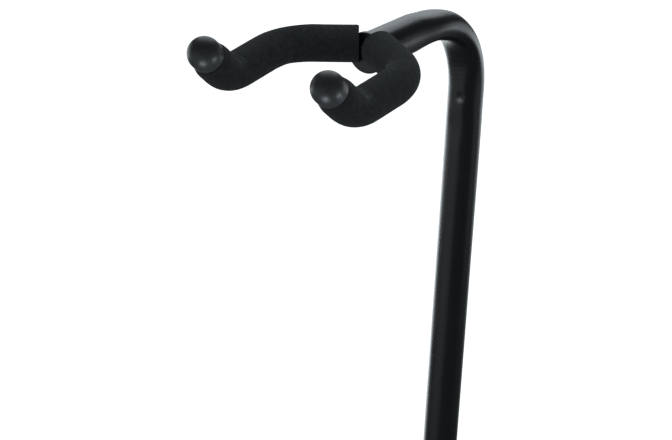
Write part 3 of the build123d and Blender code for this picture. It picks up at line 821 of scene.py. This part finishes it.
def makeBolt(s, name, headFace, axis, length):
    # socket-head bolt; headFace is where the head seats, the shank runs on along the axis
    # the two faces are filled from faceHole inward
    outline = soften([(s["faceHole"], -s["headHeight"], 0), (s["head"], -s["headHeight"], s["round"]),
                      (s["head"], 0, s["edge"]), (s["shank"], 0, s["edge"]),
                      (s["shank"], length, s["tipRound"]), (s["faceHole"], length, 0)])
    bolt = turnPiece(name, outline, headFace, axis, 48)
    top = Vector(headFace) - s["headHeight"] * Vector(axis)
    combine(bolt, addPrism(6, s["socket"], 2 * s["socketDepth"], top, axis), "DIFFERENCE")
    return settle(bolt, name)


hexNut = {"flats": 0.010, "thick": 0.005, "bore": 0.0031, "bevel": 0.0009, "bevelRise": 0.00054,
          "edge": 0.00015}


def makeNut(s, name, face, axis):
    # hexagon cut back at its corners by a bevelled ring
    tip, thick = s["flats"] / math.sqrt(3), s["thick"]
    middle = Vector(face) + thick / 2 * Vector(axis)
    nut = addPrism(6, tip, thick, middle, axis)
    chamfer = turnPiece(name + "_chamfer", [
        (s["bore"], 0), (tip - s["bevel"], 0), (tip, s["bevelRise"]), (tip, thick - s["bevelRise"]),
        (tip - s["bevel"], thick), (s["bore"], thick)], face, axis, 72, bored=True)
    combine(nut, chamfer, "INTERSECT")
    applyModifier(nut, "BEVEL", width=s["edge"], segments=2, limit_method="ANGLE", angle_limit=0.5)
    return settle(nut, name, 30)


# ---- lower tube ----

plainTube = {"wall": 0.0015, "rim": 0.0004}


def makeTube(name, radius, wall, rim, length, origin, axis, segments=96):
    bore = radius - wall
    outline = soften([(bore, length / 2, 0), (bore, 0, rim), (radius, 0, rim), (radius, length, rim),
                      (bore, length, rim), (bore, length / 2, 0)])
    return turnPiece(name, outline[:-1], origin, axis, segments, bored=True)


lowerLow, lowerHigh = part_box("lower_tube")
lowerRadius = (lowerHigh.x - lowerLow.x) / 2
lowerTube = makeTube("lower_tube_painted", lowerRadius, plainTube["wall"], plainTube["rim"],
                     lowerHigh.z - lowerLow.z, pole + Vector((0, 0, lowerLow.z)), (0, 0, 1))
give(lowerTube, ["lower_tube"], "base", finishes["tube_paint"])
print("lower tube made")


# ---- castings: clamp housing, hub, collar and rest arm ----

castings = {
    "clutch_housing": {"voxel": 0.00055, "passes": 5, "slot": "clamp_plastic", "name": "clamp_housing"},
    "tripod_hub": {"voxel": 0.0007, "passes": 6, "slot": "clamp_plastic", "name": "hub_casting"},
    "rest_collar": {"voxel": 0.0005, "passes": 5, "slot": "clamp_plastic", "name": "rest_collar_casting"},
    "rest_arm": {"voxel": 0.0005, "passes": 5, "slot": "tube_paint", "name": "rest_arm_painted"},
}
for node, s in castings.items():
    casting = softCopy(node, s["name"], s["voxel"], s["passes"])
    give(casting, [node], "base", finishes[s["slot"]])
print("castings eased")


# ---- clamp knob ----

clampKnob = {"segments": 144, "lobes": 6, "rim": 0.01825, "scoop": 0.0055, "scoopReach": 0.021,
             "knee": 0.0014, "neck": 0.010, "neckLength": 0.005, "neckRound": 0.0006, "core": 0.002,
             "gripFrom": 0.008, "backRound": 0.0012, "rimRound": 0.0022, "face": 0.0115,
             "dish": 0.0009, "dishWall": 0.0008, "dishFloor": 0.0031, "dishRound": 0.0004,
             "button": 0.0062, "buttonRise": 0.0006, "buttonRound": 0.0005, "sink": 0.001}


def knobReach(angle):
    # distance to the rim, or to the scoop between two lobes, as a share of the rim
    s = clampKnob
    pitch = 2 * math.pi / s["lobes"]
    off = (angle + pitch / 2) % pitch - pitch / 2
    reach = s["rim"]
    side = s["scoopReach"] * math.sin(off)
    if abs(side) < s["scoop"]:
        scooped = s["scoopReach"] * math.cos(off) - math.sqrt(s["scoop"] ** 2 - side ** 2)
        reach = limited(s["rim"], scooped, s["knee"])
    return reach / s["rim"]


def makeKnob(s):
    low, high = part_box("clutch_knob")
    origin = Vector((0, low.y, (low.z + high.z) / 2))
    away = (0, 1, 0)
    base, top = s["neckLength"], high.y - low.y
    dish = top - s["dish"]
    grip = turnPiece("clamp_knob", soften([
        (s["gripFrom"], base, 0), (s["rim"], base, s["backRound"]), (s["rim"], top, s["rimRound"]),
        (s["face"], top, s["dishRound"]), (s["face"] - s["dishWall"], dish, s["dishRound"]),
        (s["dishFloor"], dish, 0)], 6), origin, away, s["segments"], rimShape=knobReach)
    neckTop = base + s["sink"]
    neckPiece = turnPiece("knob_neck", soften([
        (s["core"], 0, 0), (s["neck"], 0, s["neckRound"]), (s["neck"], neckTop, 0),
        (s["core"], neckTop, 0)]), origin, away, 96)
    buttonLow, buttonTop = dish - s["sink"], dish + s["buttonRise"]
    button = turnPiece("knob_button", soften([
        (s["core"] / 2, buttonLow, 0), (s["button"], buttonLow, 0),
        (s["button"], buttonTop, s["buttonRound"]), (s["core"] / 2, buttonTop, 0)]), origin, away, 64)
    return settle(joinAll([grip, neckPiece, button]), "clamp_knob", 35)


knob = makeKnob(clampKnob)
give(knob, ["clutch_knob"], "knob", finishes["knob_plastic"])
print("knob made")


# ---- legs: modelled once at the rear, then copied round the pole ----

leg = {"wall": 0.0012, "rim": 0.0003, "tubeStart": 0.024, "tubeStop": 0.003, "radius": 0.0095,
       "soleDepth": 0.002, "cup": 0.030, "mouth": 0.0020, "lugWidth": 0.0206, "nutTail": 0.001,
       "grooves": (0.005, 0.009, 0.013), "grooveDepth": 0.0006, "grooveWidth": 0.0012,
       "edge": 0.0003, "mouthRound": 0.0007, "grooveEdge": 0.0002, "faceHole": 0.001,
       "knuckleVoxel": 0.00045, "knucklePasses": 4}
legTurn = {"rear": 0, "left": 120, "right": 240}
joints = {joint["name"]: joint for joint in frame["joints"]}
pivot = Vector(joints["leg_fold_rear"]["pos_m"])
footLow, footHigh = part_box("leg_foot_rear")
footRadius = (footHigh.x - footLow.x) / 2
footMiddle = Vector((0, footHigh.y - footRadius, footRadius - leg["soleDepth"]))
legWay = (footMiddle - pivot).normalized()
legLength = (footMiddle - pivot).length


def makeFoot(s, name):
    # rubber boot with rings round its mouth, cut off level at the floor
    mouth, bore = legLength - s["cup"], s["radius"]
    inside, lip = legLength - s["tubeStop"], s["radius"] + s["mouth"]
    corners = [(s["faceHole"], inside, 0), (bore, inside, s["edge"]), (bore, mouth, s["edge"]),
               (lip, mouth, s["mouthRound"])]
    for along in s["grooves"]:
        skin = lip + (footRadius - lip) * along / s["cup"]
        for share, deep in ((0, 0), (0.3, s["grooveDepth"]), (0.7, s["grooveDepth"]), (1, 0)):
            corners.append((skin - deep, mouth + along + share * s["grooveWidth"], s["grooveEdge"]))
    outline = soften(corners + [(footRadius, legLength, 0)], 3) + domeOutline(footRadius, legLength, 14)
    foot = turnPiece(name, outline, pivot, legWay, 96)
    bpy.ops.object.mode_set(mode="EDIT")
    bpy.ops.mesh.select_all(action="SELECT")
    bpy.ops.mesh.bisect(plane_co=(0, 0, 0), plane_no=(0, 0, 1), use_fill=True, clear_inner=True)
    bpy.ops.object.mode_set(mode="OBJECT")
    return settle(foot, name, 35)


rearPieces = {
    "tube": makeTube("leg_tube_painted_rear", leg["radius"], leg["wall"], leg["rim"],
                     legLength - leg["tubeStop"] - leg["tubeStart"], pivot + leg["tubeStart"] * legWay,
                     legWay, 72),
    "foot": makeFoot(leg, "leg_boot_rear"),
    "knuckle": softCopy("leg_knuckle_rear", "leg_eye_rear", leg["knuckleVoxel"], leg["knucklePasses"]),
}
legNodes = {"tube": ("leg_tube_", "tube_paint", "leg_tube_painted_"),
            "foot": ("leg_foot_", "foot_rubber", "leg_boot_"),
            "knuckle": ("leg_knuckle_", "clamp_plastic", "leg_eye_")}
for word, degrees in legTurn.items():
    for kind, (nodeStart, slotName, pieceStart) in legNodes.items():
        piece = rearPieces[kind]
        if degrees:
            piece = copyTurned(piece, pieceStart + word, degrees)
        give(piece, [nodeStart + word], "leg_" + word, finishes[slotName])
print("legs made")


# ---- fasteners ----

def aroundPole(piece, name):
    copies = [copyTurned(piece, name + "_" + word, degrees) for word, degrees in legTurn.items() if degrees]
    return settle(joinAll([piece] + copies), name)


lugSide = leg["lugWidth"] / 2
boltLength = leg["lugWidth"] + hexNut["thick"] + leg["nutTail"]
acrossX = Vector((1, 0, 0))
pivotBolts = aroundPole(makeBolt(capBolt, "pivot_bolts", pivot - lugSide * acrossX, acrossX, boltLength),
                        "pivot_bolts")
give(pivotBolts, ["leg_pivot_bolts"], "base", finishes["screw_steel"])
pivotNuts = aroundPole(makeNut(hexNut, "pivot_nuts", pivot + lugSide * acrossX, acrossX), "pivot_nuts")
give(pivotNuts, ["leg_pivot_nuts"], "base", finishes["screw_steel"])

pinchLow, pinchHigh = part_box("rest_pinch_nut")
pinchMiddle = Vector((pinchLow.x, (pinchLow.y + pinchHigh.y) / 2, (pinchLow.z + pinchHigh.z) / 2))
pinchNut = makeNut(hexNut, "pinch_nut", pinchMiddle, acrossX)
give(pinchNut, ["rest_pinch_nut"], "base", finishes["screw_steel"])
earSpan = 2 * pinchLow.x
pinchBolt = makeBolt(capBolt, "pinch_bolt", pinchMiddle - earSpan * acrossX, acrossX,
                     earSpan + hexNut["thick"] + leg["nutTail"])
give(pinchBolt, ["rest_pinch_bolt"], "base", finishes["screw_steel"])

hubScrew = {"head": 0.004, "rise": 0.0026, "shank": 0.002, "round": 0.0016, "inside": 0.0065,
            "tipRound": 0.0004, "edge": 0.0002, "faceHole": 0.0008, "slotLength": 0.0042,
            "slotWidth": 0.0009, "slotDepth": 0.0012, "drop": 0.010, "hubWall": 0.006}


def makeHubScrew(s):
    # pan head with a cross recess, seated on the hub in front
    low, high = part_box("tripod_hub")
    seat = Vector((0, poleY - lowerRadius - s["hubWall"], high.z - s["drop"]))
    screw = turnPiece("hub_screw", soften([
        (s["faceHole"], -s["inside"], 0), (s["shank"], -s["inside"], s["tipRound"]), (s["shank"], 0, 0),
        (s["head"], 0, s["edge"]), (s["head"], s["rise"], s["round"]), (s["faceHole"], s["rise"], 0)], 6),
        seat, (0, -1, 0), 48)
    top = seat - Vector((0, s["rise"], 0))
    for size in ((s["slotLength"], s["slotWidth"]), (s["slotWidth"], s["slotLength"])):
        deselectAll()
        bpy.ops.mesh.primitive_cube_add(size=1, location=top, scale=(size[0], 2 * s["slotDepth"], size[1]))
        combine(screw, bpy.context.object, "DIFFERENCE")
    return settle(screw, "hub_screw", 35)


hubScrews = aroundPole(makeHubScrew(hubScrew), "hub_screw_set")
give(hubScrews, ["hub_screws"], "base", finishes["screw_steel"])
print("fasteners made")


# ---- body rest: foam and caps on its bar ----

# the last entry sets how deeply the rest sleeves fold and how bright their painted crease highlight is
bodyRest = {"height": 0.395, "reach": 0.066, "start": 0.0085, "knee": 0.026, "half": 0.108,
            "sweep": 0.030, "bendRadius": 0.024, "worn": 0.5}

for word, side in sideWord.items():
    stations = ((bodyRest["start"], 0.0), (bodyRest["knee"], 0.0), (bodyRest["half"], bodyRest["sweep"]))
    route = [Vector((side * out, poleY - bodyRest["reach"] - forward, bodyRest["height"]))
             for out, forward in stations]
    sleeve = makeSleeve(foamSleeve, "rest_foam_" + word, route, [bodyRest["bendRadius"]], 7.0 + side,
                        (bodyRest["worn"],))
    give(sleeve, ["rest_sleeve_" + word], "base", finishes["foam"])
    cap = makeCap(endCap, "rest_end_" + word, route[2], route[2] - route[1])
    give(cap, ["rest_cap_" + word], "base", finishes["cap_rubber"])
print("body rest dressed")


# ---- everything that keeps its shape takes its finish ----

for part in frame["record"]["subparts"]:
    node = cadNodes[part["node"]]
    node.data.materials.clear()
    node.data.materials.append(finishes[part["material_slot"]])


# ---- floor and light ----

studio = {
    "floorSize": 14.0, "floorGlow": 0.86, "floorShare": 0.5, "worldFill": 0.60, "worldGloss": 0.04,
    "bounceBack": 1.2, "bounceFront": 0.08, "bounceFrom": 0.6, "bounceTo": 2.6,
    "tint": (0.92, 1.0, 1.05),
    "top": {"turn": 180, "lift": 45, "away": 2.3, "size": 2.3, "glow": 1.9, "only": "hard"},
    "back": {"turn": 180, "lift": 8, "away": 2.4, "size": 1.3, "glow": 1.0, "only": "hard"},
    "backLeft": {"turn": -125, "lift": -8, "away": 2.2, "size": 1.3, "glow": 1.9, "only": "hard"},
    "sideLeft": {"turn": -95, "lift": -14, "away": 1.6, "size": 0.7, "glow": 0.85, "only": "hard"},
    "lowBack": {"turn": -155, "lift": -38, "away": 1.4, "size": 1.0, "glow": 2.2, "only": "neck"},
    "spark": {"turn": -42, "lift": 10, "away": 1.5, "size": 0.5, "glow": 9.0, "only": "neck"},
    "backRight": {"turn": 128, "lift": -8, "away": 2.2, "size": 1.1, "glow": 1.3, "only": "hard"},
    "left": {"turn": -50, "lift": -14, "away": 1.5, "size": 1.5, "glow": 0.42, "only": "hard"},
    "right": {"turn": 82, "lift": -14, "away": 1.5, "size": 0.8, "glow": 0.42, "only": "hard"},
    "soft": {"turn": -150, "lift": 62, "away": 2.2, "size": 2.4, "glow": 0.5, "only": "foam"},
    "lowLeft": {"turn": -18, "lift": -42, "away": 0.9, "size": 0.28, "glow": 20.0, "only": "caps"},
    "lowRight": {"turn": 63, "lift": -27, "away": 0.9, "size": 0.14, "glow": 55.0, "only": "caps"},
}


def addSoftbox(name, s):
    # turn is degrees right of the camera, lift is degrees above the arm
    azimuth = math.radians(cameraView["azimuth"])
    turn, lift = math.radians(s["turn"]), math.radians(s["lift"])
    toCamera = Vector((math.sin(azimuth), -math.cos(azimuth), 0))
    right = Vector((math.cos(azimuth), math.sin(azimuth), 0))
    level = math.cos(turn) * toCamera + math.sin(turn) * right
    place = corner + s["away"] * (math.cos(lift) * level + math.sin(lift) * Vector((0, 0, 1)))
    bpy.ops.object.light_add(type="AREA", location=place)
    light = bpy.context.object
    light.name = "softbox_" + name
    light.data.size = s["size"]
    light.data.energy = s["glow"] * math.pi * s["size"] ** 2
    light.data.color = studio["tint"]
    light.visible_camera = False
    light.rotation_euler = (corner - light.location).to_track_quat("-Z", "Y").to_euler()
    light.light_linking.receiver_collection = receivers[s["only"]]


def splitByRay(tree, kind, seen, unseen):
    # one kind of ray meets one shader, every other kind the other
    rays = addNode(tree, "ShaderNodeLightPath")
    mix = addNode(tree, "ShaderNodeMixShader")
    tree.links.new(rays.outputs[kind], mix.inputs[0])
    tree.links.new(unseen, mix.inputs[1])
    tree.links.new(seen, mix.inputs[2])
    return mix.outputs[0]


def addFloor(s):
    bpy.ops.mesh.primitive_plane_add(size=s["floorSize"], location=(0, 0, 0))
    floor = bpy.context.object
    floor.name = "floor"
    material = bpy.data.materials.new("paleFloor")
    material.use_nodes = True
    tree = material.node_tree
    paint = tree.nodes["Principled BSDF"]
    paint.inputs["Base Color"].default_value = (0.85, 0.85, 0.85, 1)
    paint.inputs["Roughness"].default_value = 0.9
    thin = addNode(tree, "ShaderNodeBsdfDiffuse")
    thin.inputs["Color"].default_value = (s["floorShare"], s["floorShare"], s["floorShare"], 1)
    glow = addNode(tree, "ShaderNodeEmission")
    glow.inputs["Strength"].default_value = s["floorGlow"]
    both = addNode(tree, "ShaderNodeAddShader")
    tree.links.new(thin.outputs[0], both.inputs[0])
    tree.links.new(glow.outputs[0], both.inputs[1])
    # the floor behind the stand is lit up like a sweep, which rims the black tube
    azimuth = math.radians(cameraView["azimuth"])
    behind = addNode(tree, "ShaderNodeVectorMath", operation="DOT_PRODUCT")
    behind.inputs[1].default_value = (-math.sin(azimuth), math.cos(azimuth), 0)
    tree.links.new(addNode(tree, "ShaderNodeTexCoord").outputs["Object"], behind.inputs[0])
    bounce = addNode(tree, "ShaderNodeEmission")
    bounce.inputs["Color"].default_value = (*s["tint"], 1)
    level = spread(tree, behind.outputs["Value"], s["bounceFrom"], s["bounceTo"],
                   s["bounceFront"], s["bounceBack"])
    tree.links.new(level, bounce.inputs["Strength"])
    lit = splitByRay(tree, "Is Glossy Ray", bounce.outputs[0], paint.outputs[0])
    output = tree.nodes["Material Output"]
    tree.links.new(splitByRay(tree, "Is Camera Ray", both.outputs[0], lit), output.inputs["Surface"])
    floor.data.materials.append(material)


def addWorld(s):
    world = bpy.data.worlds.new("studio")
    world.use_nodes = True
    tree = world.node_tree
    shades = []
    for strength in (1.0, s["worldFill"], s["worldGloss"]):
        shade = addNode(tree, "ShaderNodeBackground")
        shade.inputs["Color"].default_value = (1, 1, 1, 1) if not shades else (*s["tint"], 1)
        shade.inputs["Strength"].default_value = strength
        shades.append(shade.outputs[0])
    unseen = splitByRay(tree, "Is Glossy Ray", shades[2], shades[1])
    seen = splitByRay(tree, "Is Camera Ray", shades[0], unseen)
    tree.links.new(seen, tree.nodes["World Output"].inputs["Surface"])
    bpy.context.scene.world = world


# which pieces a softbox lights: foam takes one soft light only, all other pieces are hard
receivers = {name: bpy.data.collections.new(name) for name in ("caps", "foam", "hard", "neck")}
receivers["neck"].objects.link(neck)
for piece in [item for item in bpy.context.scene.objects if item.type == "MESH"]:
    padded = piece.active_material == finishes["foam"]
    receivers["foam" if padded else "hard"].objects.link(piece)
    if piece in caps:
        receivers["caps"].objects.link(piece)

deselectAll()
addFloor(studio)
addWorld(studio)
for name, light in studio.items():
    if isinstance(light, dict):
        addSoftbox(name, light)
bpy.context.scene.view_settings.view_transform = "Standard"
print("studio lit")
